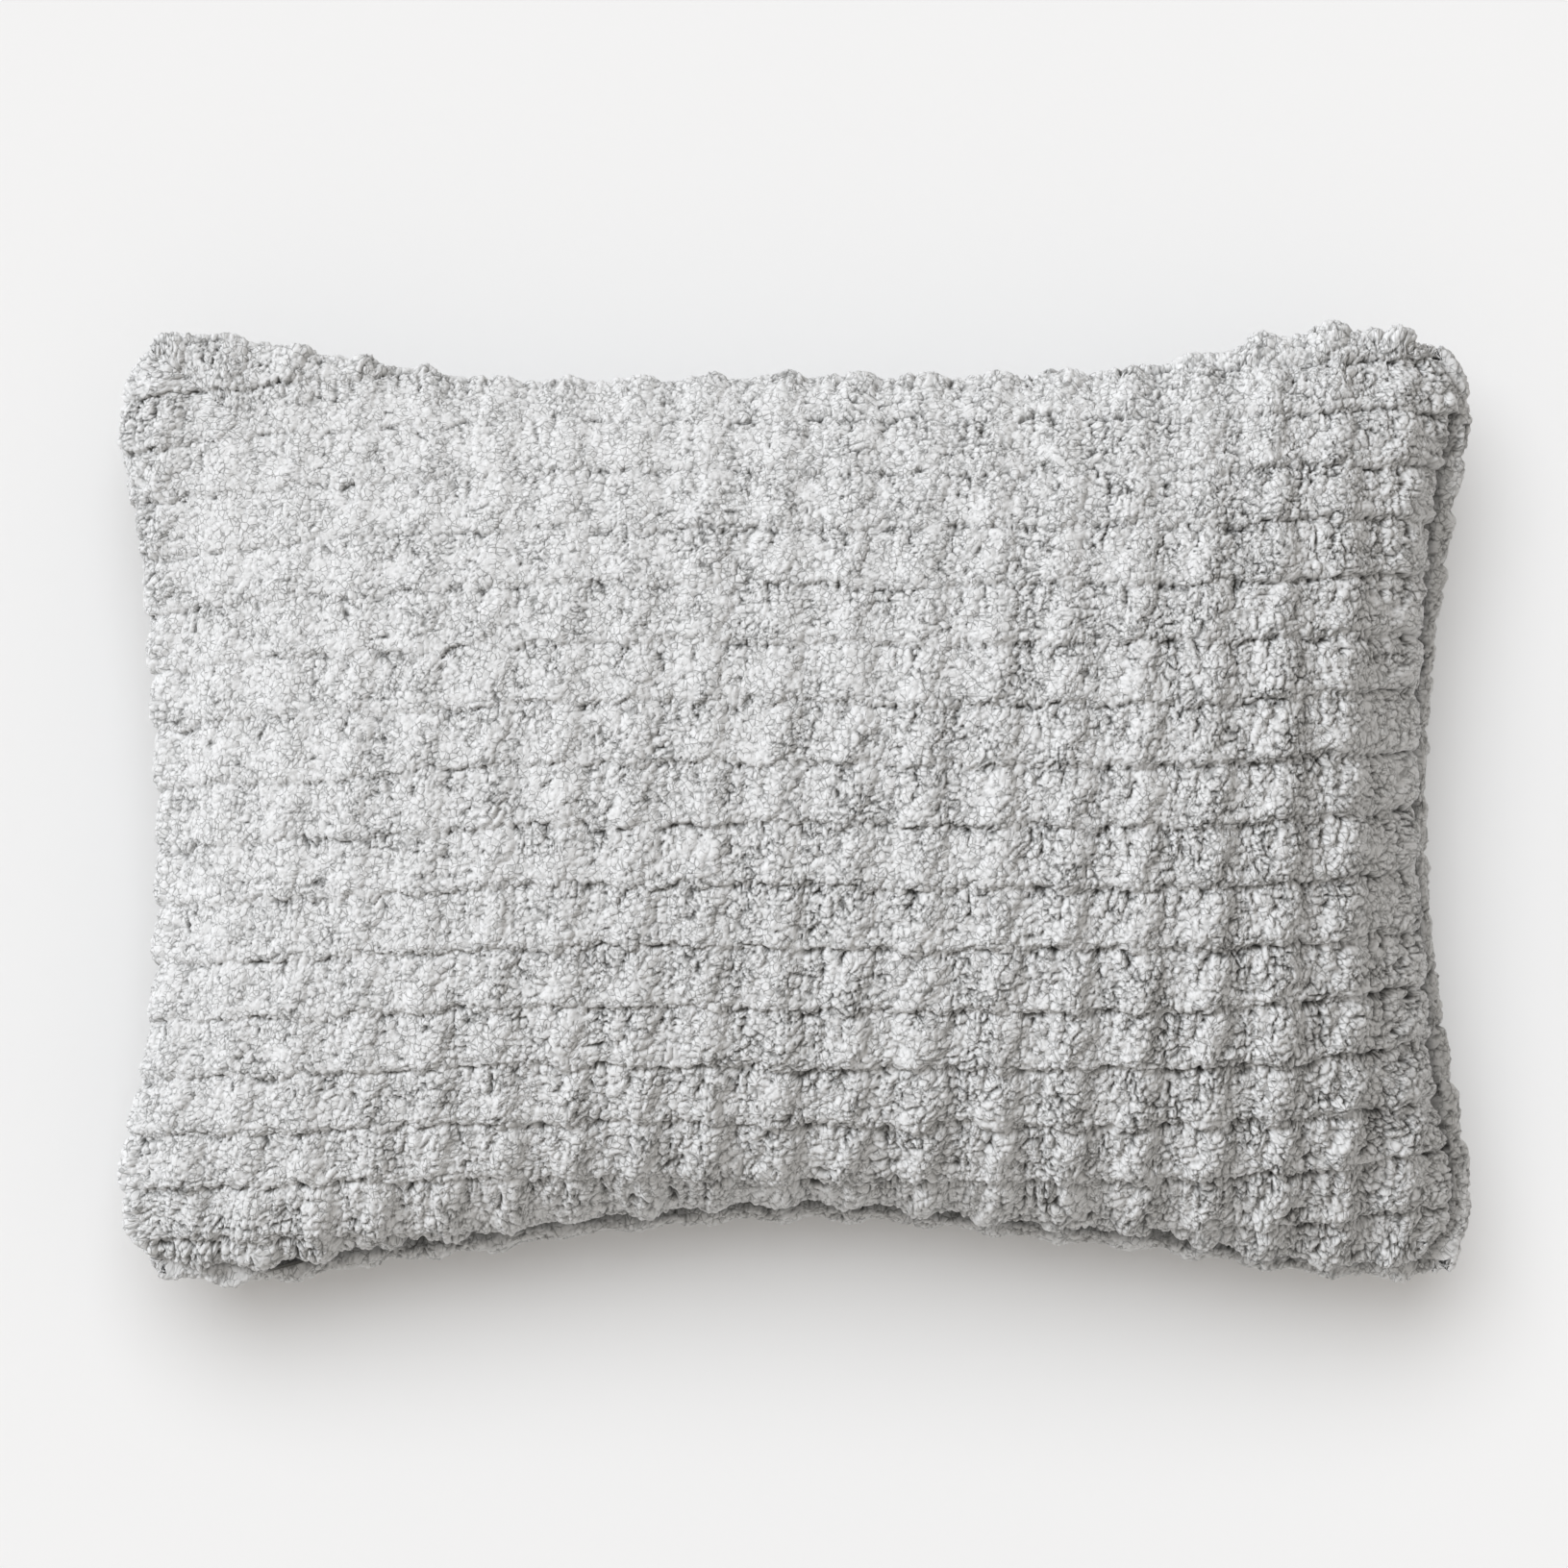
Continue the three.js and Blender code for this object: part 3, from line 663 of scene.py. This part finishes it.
# Woven cloth: two sets of threads that cross, each with a little noise in its thickness, which breaks
# the light into fine squares.
def wovenMaterial(name, thread, dark, pale, roughness, slant=0.0, sheen=0.1):
    material, tree, surface = newMaterial(name, Roughness=roughness, Sheen_Weight=sheen,
                                          Specular_IOR_Level=0.25)
    place = addNode(tree, "TexCoord")
    turned = addNode(tree, "Mapping", {"Rotation": (0.0, 0.0, slant)}, {"Vector": (place, "Object")})
    warp = addNode(tree, "TexWave", {"bands_direction": "X", "Scale": waveScale(thread), "Distortion": 0.4},
                   {"Vector": (turned, "Vector")})
    weft = addNode(tree, "TexWave", {"bands_direction": "Y", "Scale": waveScale(thread), "Distortion": 0.4},
                   {"Vector": (turned, "Vector")})
    height = addNode(tree, "Math", {"operation": "MULTIPLY"}, {0: (warp, "Fac"), 1: (weft, "Fac")})
    slub = addNode(tree, "TexNoise", {"Scale": 1 / 0.003, "Detail": 3.0}, {"Vector": (place, "Object")})
    both = addNode(tree, "Math", {"operation": "MULTIPLY_ADD", 1: 0.6},
                   {0: (slub, "Fac"), 2: (height, "Value")})
    tint(tree, surface, (both, "Value"), [(0.2, dark), (0.9, pale)])
    emboss(tree, surface, (both, "Value"), 0.5, 0.1)
    return material


# Drawn nylon: a smooth, slightly waxy monofilament, duller where it was crimped.
def coilMaterial():
    material, tree, surface = newMaterial("drawnNylonCoil", IOR=1.53, Subsurface_Weight=0.08)
    place = addNode(tree, "TexCoord")
    rub = addNode(tree, "TexNoise", {"Scale": 1 / 0.0009, "Detail": 3.0}, {"Vector": (place, "Object")})
    dull = addNode(tree, "MapRange", {"To Min": 0.32, "To Max": 0.55}, {"Value": (rub, "Fac")})
    tint(tree, surface, (rub, "Fac"), [(0.35, "#a8a8a5"), (0.65, "#bdbdba")])
    tree.links.new(dull.outputs["Result"], surface.inputs["Roughness"])
    return material


# Die-cast zinc with a dark nickel plate: a soft grey mirror, rubbed paler and smoother on its edges,
# with the faint pebbling of a tumbled casting.
def zipMetalMaterial():
    material, tree, surface = newMaterial("tumbledDarkNickel", Metallic=1.0)
    place = addNode(tree, "TexCoord")
    pebble = addNode(tree, "TexNoise", {"Scale": 1 / 0.0006, "Detail": 4.0}, {"Vector": (place, "Object")})
    wear = addNode(tree, "NewGeometry")
    rubbed = addNode(tree, "MapRange", {"From Min": 0.52, "From Max": 0.62}, {"Value": (wear, "Pointiness")})
    mixed = addNode(tree, "Math", {"operation": "MULTIPLY_ADD", 1: 0.35},
                    {0: (pebble, "Fac"), 2: (rubbed, "Result")})
    tint(tree, surface, (mixed, "Value"), [(0.1, "#4c4c4b"), (0.4, "#6b6b69"), (1.0, "#a5a5a2")])
    dull = addNode(tree, "MapRange", {"To Min": 0.42, "To Max": 0.24}, {"Value": (mixed, "Value")})
    tree.links.new(dull.outputs["Result"], surface.inputs["Roughness"])
    emboss(tree, surface, (pebble, "Fac"), 0.15, 0.05)
    return material


# Siliconised hollow fibre, carded: a white fluff of clumps about 9 mm across with fine crossing hairs.
def fibreMaterial():
    material, tree, surface = newMaterial("cardedHollowFibre", Roughness=1.0, Sheen_Weight=0.3,
                                          Specular_IOR_Level=0.1)
    place = addNode(tree, "TexCoord")
    clump = addNode(tree, "TexNoise", {"Scale": 1 / 0.009, "Detail": 4.0, "Distortion": 1.5},
                    {"Vector": (place, "Object")})
    hairs = addNode(tree, "TexWave", {"bands_direction": "DIAGONAL", "Scale": waveScale(0.8),
                                      "Distortion": 9.0, "Detail": 3.0}, {"Vector": (place, "Object")})
    both = addNode(tree, "Math", {"operation": "MULTIPLY_ADD", 1: 0.35},
                   {0: (hairs, "Fac"), 2: (clump, "Fac")})
    tint(tree, surface, (both, "Value"), [(0.3, "#dcdbd8"), (0.9, "#fbfaf8")])
    emboss(tree, surface, (both, "Value"), 0.7, 1.2)
    return material


thread = threadMaterial()
tapeCloth = wovenMaterial("herringboneZipTape", 0.7, "#a3a3a0", "#c6c6c3", 0.8, slant=math.radians(45))
labelSatin = wovenMaterial("wovenSatinLabel", 0.4, "#e4e3df", "#faf9f6", 0.45, sheen=0.3)
insertCotton = wovenMaterial("plainWovenCambric", 0.5, "#dddcd8", "#f6f5f2", 0.85)
nylon = coilMaterial()
zipMetal = zipMetalMaterial()
fibre = fibreMaterial()


# The seam that joins the panels, from one end of the zip round three sides to the other

between = {side: (panels["front"]["in"][side] + panels["back"]["in"][side]) / 2 for side in edgeShape}
middle = {"sewnEdge": 0.0, "zipEdge": 0.0, "rise": 0.0, "side": 1, "in": between}
zipper = {
    "halfSpan": 188.0,  # mm, from the middle to the coils' ends
    "radius": cover["cornerLength"] ** 2 / (2 * cover["pullWidth"]),
    "coilDepth": (9.0, 10.6),  # in from the seam's edge
    "coilReach": (0.75, 1.9),  # above or below the seam
    "coilPitch": 1.27,
    "wire": 0.24,  # radius of the coil's monofilament
    "tapeDepth": (9.0, 18.3),
    "tapeRise": 0.42,
    "tapeLow": 2.2,
    "tapeThickness": 0.55,
    "stitchDepth": 15.2,
    "metalEdge": 0.14,  # how far the castings' edges are rounded
    "tapePast": 6.0,  # how far past the coils' ends the tapes, their stitching and the bartacks go
    "stitchPast": 4.0,
    "tackPast": 3.0,
    "tackLong": 6.0,
    "tackDepth": (1.5, 3.9),
    "seamPast": 12.0,  # and where the seam's stitches end
}
zipper["centre"] = -(cover["cornerWidth"] - cover["pullWidth"]) - zipper["radius"]


def onZip(x, depth, up):  # a place on the zip: along it, in from the seam's edge, above the seam
    turn = np.arcsin(x / zipper["radius"])
    reach = zipper["radius"] + depth
    high = np.broadcast_to(cover["seamHeight"] + up, turn.shape)
    return np.stack([reach * np.sin(turn), zipper["centre"] + reach * np.cos(turn), high], -1)


def seamLine():
    end = (zipper["halfSpan"] + zipper["seamPast"]) / cover["cornerLength"]
    lines = [(np.linspace(-end, -1, 40), -1.0), (-1.0, np.linspace(-1, 1, 120)),
             (np.linspace(-1, 1, 160), 1.0), (1.0, np.linspace(1, -1, 120)),
             (np.linspace(1, end, 40), -1.0)]
    u = np.concatenate([np.broadcast_to(line[0], np.broadcast(*line).shape) for line in lines])
    v = np.concatenate([np.broadcast_to(line[1], np.broadcast(*line).shape) for line in lines])
    points = form(u, v, middle)
    inwards = 1 - threads["seam"]["inset"] / np.hypot(points[:, 0], points[:, 1])
    points[:, :2] *= inwards[:, None]
    return points


addPiece("seam_stitches", stitches(seamLine(), threads["seam"]), thread, "thread", "cover_seam_thread")


def bartack(x0, x1):  # a dense zigzag that ends the zip
    count = 24
    k = np.arange(count + 1)
    x = x0 + (x1 - x0) * k / count
    shallow, deep = zipper["tackDepth"]
    line = onZip(x, np.where(k % 2, deep, shallow), 0.0)
    fine = np.linspace(0, count, count * 5 + 1)
    path = np.stack([np.interp(fine, k, line[:, j]) for j in range(3)], -1)
    path[:, 2] += 0.35 * np.sin(math.pi * fine) ** 2
    return tubes(path[None], np.full(len(path), 0.22), (0.0, 0.0, 1.0))


tackStart = zipper["halfSpan"] + zipper["tackPast"]
for side, x0 in (("left", -tackStart - zipper["tackLong"]), ("right", tackStart)):
    tack = bartack(x0, x0 + zipper["tackLong"])
    addPiece("bartack_stitches_" + side, tack, thread, "thread", "bartack_" + side)
print("seam done")


# Zip tapes, coils and the stitching that holds the tapes to the panels


def zipTape(facing):  # a thin strip, bent along the seam and a little uneven
    steps, lanes = 190, 13
    end = zipper["halfSpan"] + zipper["tapePast"]
    x = np.linspace(-end, end, steps)
    depth = np.linspace(*zipper["tapeDepth"], lanes)
    xx, dd = np.meshgrid(x, depth, indexing="ij")
    low = zipper["tapeLow"] + zipper["tapeRise"] * (dd - depth[0]) + 0.12 * smoothNoise(xx / 9, dd / 5, 90)
    under = onZip(xx, dd, facing * low)
    over = onZip(xx, dd, facing * (low + zipper["tapeThickness"]))
    return closedBetween(over, under)


def zipCoil(facing):  # one long turn of monofilament after another, half a pitch from its partner
    turns = int(2 * zipper["halfSpan"] / zipper["coilPitch"]) - 1
    perTurn = 14
    k = np.arange(turns * perTurn)
    angle = 2 * math.pi * k / perTurn
    start = -zipper["halfSpan"] + 0.5 + (0.5 * zipper["coilPitch"] if facing > 0 else 0.0)
    x = start + zipper["coilPitch"] * k / perTurn
    (d0, d1), (r0, r1) = zipper["coilDepth"], zipper["coilReach"]
    wire = zipper["wire"]
    depth = (d0 + d1) / 2 + ((d1 - d0) / 2 - wire) * np.cos(angle)
    up = (r0 + r1) / 2 + ((r1 - r0) / 2 - wire) * np.sin(angle)
    path = onZip(x, depth, facing * up)
    return tubes(path[None], np.full(len(path), wire), (1.0, 0.0, 0.0))


def tapeStitching(facing):
    end = zipper["halfSpan"] + zipper["stitchPast"]
    rise = zipper["tapeLow"] + zipper["tapeRise"] * (zipper["stitchDepth"] - zipper["tapeDepth"][0])
    up = rise + zipper["tapeThickness"] + threads["tape"]["radius"]
    line = onZip(np.linspace(-end, end, 200), zipper["stitchDepth"], facing * up)
    return stitches(line, threads["tape"])


for side, facing in (("front", 1), ("back", -1)):
    tape = addPiece("woven_tape_" + side, zipTape(facing), tapeCloth, "tape", "zipper_tape_" + side)
    addPiece("coil_" + side, zipCoil(facing), nylon, "coil", "zipper_coil_" + side)
    addPiece("tape_stitches_" + side, tapeStitching(facing), thread, "thread", "tape_stitching_" + side)


def casting(name, node, body="cover"):  # a CAD casting with its edges rounded, as tumbling leaves them
    build = bmesh.new()
    build.from_mesh(nodes[node].data)
    bmesh.ops.remove_doubles(build, verts=build.verts, dist=1e-7)
    bmesh.ops.dissolve_limit(build, angle_limit=math.radians(3), verts=build.verts, edges=build.edges)
    sharp = [e for e in build.edges if len(e.link_faces) == 2 and e.calc_face_angle(0.0) > math.radians(28)]
    bmesh.ops.bevel(build, geom=sharp, offset=zipper["metalEdge"] * mm, segments=2, profile=0.5,
                    affect="EDGES", clamp_overlap=True)
    bmesh.ops.triangulate(build, faces=[f for f in build.faces if len(f.verts) > 4])
    mesh = bpy.data.meshes.new(name)
    build.to_mesh(mesh)
    build.free()
    piece = bpy.data.objects.new(name, mesh)
    bpy.context.scene.collection.objects.link(piece)
    mesh.materials.append(zipMetal)
    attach(piece, body)
    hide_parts(node)
    return piece


casting("slider_casting", "slider_body", "slider")
casting("pull_casting", "pull_tab", "pull")
for node in ("top_stop_front", "top_stop_back", "bottom_stop"):
    casting(node + "_casting", node)
print("zip done")


# Blank labels: satin strips that curl a little, caught in the seams

labels = {
    "care": {"node": "care_label", "long": 30.0, "wide": 11.0, "turn": -0.146, "curl": 0.25},
    "insert": {"node": "insert_label", "long": 10.0, "wide": 50.0, "turn": 0.0, "curl": 0.3},
    "thickness": 0.3,
}


def label(name, facts):
    low, high = (np.array(corner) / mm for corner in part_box(facts["node"]))
    centre = (low + high) / 2
    count = (int(facts["long"]) * 2, int(facts["wide"]) * 2)
    a, b = np.meshgrid(*(np.linspace(-0.5, 0.5, n) for n in count), indexing="ij")
    x, y = a * facts["long"], b * facts["wide"]
    z = facts["curl"] * (np.cos(2 * math.pi * b) + 0.5 * smoothNoise(x / 6, y / 6, 91))
    cos, sin = math.cos(facts["turn"]), math.sin(facts["turn"])
    over = np.stack([centre[0] + x * cos - y * sin, centre[1] + x * sin + y * cos, centre[2] + z], -1)
    under = over - np.array([0, 0, labels["thickness"]])
    piece = addPiece(name, closedBetween(over, under), labelSatin, "label", facts["node"])


# The insert: two cambric halves gathered at a flat seam, filled with fibre

insert = {
    "halfLength": 241.5,
    "halfWidth": 158.0,
    "rise": 55.5,  # of the front half above the seam
    "drop": 60.0,
    "floor": 6.4,
    "cloth": 0.6,
    "gap": 0.6,  # half the distance between the two halves' edges
    "gather": 0.9,  # height of the gathers at the seam
    "gatherSpacing": 11.0,
    "step": 4.0,
    "fillInset": 1.9,  # from the cloth's outside down to the filling, and in from its edge
    "fillEdge": 5.0,
    "clumpHeight": 1.3,
    "clumpSize": 9.0,
    "tuftSize": 4.0,
    "pressedIn": 1.2,  # how far the cloth holds the clumps in, times their height
    "gatherFall": 9.0,  # how fast the gathers die out away from the seam
    "wave": 0.5,  # the cloth's own long waves, and their spacing
    "waveSpacing": 35.0,
    "cornerIn": 0.045,  # how far the seam's corners are pulled in, as a share
    "stitchesIn": 0.7,
    "opening": (0.28, 0.3),  # share of the half length that is closed by hand, and where the seam ends
}


def insertSurface(side, inset, edgeInset, rough):
    counts = (int(2 * insert["halfLength"] / insert["step"]), int(2 * insert["halfWidth"] / insert["step"]))
    u, v = np.meshgrid(*(np.sin(np.linspace(-0.5, 0.5, n) * math.pi) for n in counts), indexing="ij")
    big, small = np.maximum(abs(u), abs(v)), np.minimum(abs(u), abs(v))
    power = cover["cornerSharpness"]
    keep = 1 - (1 - (1 + (small / np.maximum(big, 1e-6)) ** power) ** (-1 / power)) * big ** 4
    x = keep * ((insert["halfLength"] - edgeInset) * u - cover["pullLength"] * u * (1 - v * v))
    y = keep * ((insert["halfWidth"] - edgeInset) * v - cover["pullWidth"] * v * (1 - u * u))
    dome = ((1 - abs(u) ** cover["lengthCurve"]) * (1 - abs(v) ** cover["widthCurve"])) ** cover["fullness"]
    rise = ((insert["rise"] if side > 0 else insert["drop"]) - inset) * leaning(u, v, side)
    up = side * (insert["gap"] - inset * 0.1 + rise * dome)
    if rough:  # carded clumps, pressed in where the cloth holds them
        clump, tuft = insert["clumpSize"], insert["tuftSize"]
        bump = smoothNoise(x / clump, y / clump, 92) + 0.5 * smoothNoise(x / tuft, y / tuft, 93)
        bump = bump - insert["pressedIn"]
        up = up + side * insert["clumpHeight"] * bump * np.clip(dome * 3, 0, 1)
    else:  # gathers that run in from the seam
        around = np.where(abs(u) > abs(v), y, x) / insert["gatherSpacing"]
        pucker = np.exp(-(1 - big) * insert["gatherFall"]) * np.clip(dome * 12, 0, 1)
        up = up + side * insert["gather"] * pucker * smoothNoise(around * 2, big * 2, 94)
        wave = insert["waveSpacing"]
        up = up + side * insert["wave"] * np.clip(dome, 0, 1) * smoothNoise(x / wave, y / wave, 95)
    z = cover["seamHeight"] + up
    floorHeight = insert["floor"] + inset
    if side < 0:
        z = np.maximum(z, floorHeight + 0.15 * smoothNoise(x / 20, y / 20, 96))
    return np.stack([x, y, z], -1)


for name, side in (("front", 1), ("back", -1)):
    outer = insertSurface(side, 0.0, 0.0, False)
    inner = insertSurface(side, insert["cloth"], insert["cloth"], False)
    shell = addPiece("insert_shell_" + name, closedBetween(outer, inner), insertCotton, "insert_cloth",
                     "insert_" + name)
fillTop = insertSurface(1, insert["fillInset"], insert["fillEdge"], True)
fillLow = insertSurface(-1, insert["fillInset"], insert["fillEdge"], True)
filling = addPiece("fibre_filling", closedBetween(fillTop, fillLow), fibre, "filling", "insert_fill")


def insertEdge(u, v):  # places along the insert's seam
    x = insert["halfLength"] * u - cover["pullLength"] * u * (1 - v * v)
    y = insert["halfWidth"] * v - cover["pullWidth"] * v * (1 - u * u)
    keep = 1 - np.minimum(abs(u), abs(v)) ** cover["cornerSharpness"] * insert["cornerIn"]
    points = np.stack([x * keep, y * keep, np.full(x.shape, cover["seamHeight"])], -1)
    points[:, :2] *= 1 - insert["stitchesIn"] / np.hypot(x, y)[:, None]
    return points


def insertSeam():
    end = insert["opening"][1]
    parts = [(np.linspace(-end, -1, 60), np.full(60, 1.0)), (np.full(100, -1.0), np.linspace(1, -1, 100)),
             (np.linspace(-1, 1, 160), np.full(160, -1.0)), (np.full(100, 1.0), np.linspace(-1, 1, 100)),
             (np.linspace(1, end, 60), np.full(60, 1.0))]
    return insertEdge(*(np.concatenate(places) for places in zip(*parts)))


closed = insert["opening"][0]
closingLine = insertEdge(np.linspace(-closed, closed, 60), np.full(60, 1.0))
addPiece("insert_seam_stitches", stitches(insertSeam(), threads["insert"]), thread, "thread",
         "insert_seam_thread")
addPiece("closing_stitches", stitches(closingLine, threads["closing"], 0.25), thread, "thread",
         "insert_closing_stitch")
label("care_strip", labels["care"])
label("insert_strip", labels["insert"])
print("insert done")


# Studio

studio = {
    "frameWidth": 595.0,  # mm across the picture at the seam's height
    "cameraHeight": 2600.0,
    "lookX": -3.4,
    "lookY": 7.0,
    "floorColour": "#eeeeee",
    "floorHalf": 12.0,  # m
    "skyColour": "#fffaf4",
    "skyStrength": 0.56,
    # The window light on the pillow comes in low from one side, and the board has its own light from
    # above, so that its shadow stays short. Each light's angle softens its shadows as a diffuser does.
    "window": {"place": (-0.65, 0.41, 0.64), "angle": 26, "strength": 2.78, "colour": "#f7faff"},
    "overBoard": {"place": (-0.18, 0.52, 1.0), "angle": 50, "strength": 1.93, "colour": "#f6faff"},
}


def softSun(name, place, angle, strength, colour, onBoard):
    light = bpy.data.lights.new(name, "SUN")
    light.angle = math.radians(angle)
    light.energy = strength
    light.color = linear(colour)[:3]
    lamp = bpy.data.objects.new(name, light)
    lamp.location = place
    lamp.rotation_euler = (-Vector(place)).to_track_quat("-Z", "Y").to_euler()
    bpy.context.scene.collection.objects.link(lamp)
    lit = bpy.data.collections.new(name + "Lights")
    lit.objects.link(floor)
    lit.collection_objects[0].light_linking.link_state = "INCLUDE" if onBoard else "EXCLUDE"
    lamp.light_linking.receiver_collection = lit


half = studio["floorHalf"]
floorMesh = bpy.data.meshes.new("studio_floor")
floorMesh.from_pydata([(-half, -half, 0), (half, -half, 0), (half, half, 0), (-half, half, 0)],
                      [], [(0, 1, 2, 3)])
floor = bpy.data.objects.new("studio_floor", floorMesh)
bpy.context.scene.collection.objects.link(floor)
# Painted board: even, pale and quite matt, so that it shows only the pillow's soft shadow
board, _, _ = newMaterial("paintedBoard", Base_Color=linear(studio["floorColour"]), Roughness=0.9)
floorMesh.materials.append(board)

world = bpy.data.worlds.new("studioAir")
world.use_nodes = True
world.node_tree.nodes["Background"].inputs[0].default_value = linear(studio["skyColour"])
world.node_tree.nodes["Background"].inputs[1].default_value = studio["skyStrength"]
bpy.context.scene.world = world
softSun("window", **studio["window"], onBoard=False)
softSun("overBoard", **studio["overBoard"], onBoard=True)

view = bpy.data.cameras.new("overhead")
view.sensor_width = 36
seamDistance = studio["cameraHeight"] - cover["seamHeight"]
view.lens = view.sensor_width * seamDistance / studio["frameWidth"]
camera = bpy.data.objects.new("overhead", view)
camera.location = (studio["lookX"] * mm, studio["lookY"] * mm, studio["cameraHeight"] * mm)
camera.rotation_euler = (0, 0, 0)
bpy.context.scene.collection.objects.link(camera)
bpy.context.scene.camera = camera
bpy.context.scene.view_settings.view_transform = "Standard"
print("studio done")
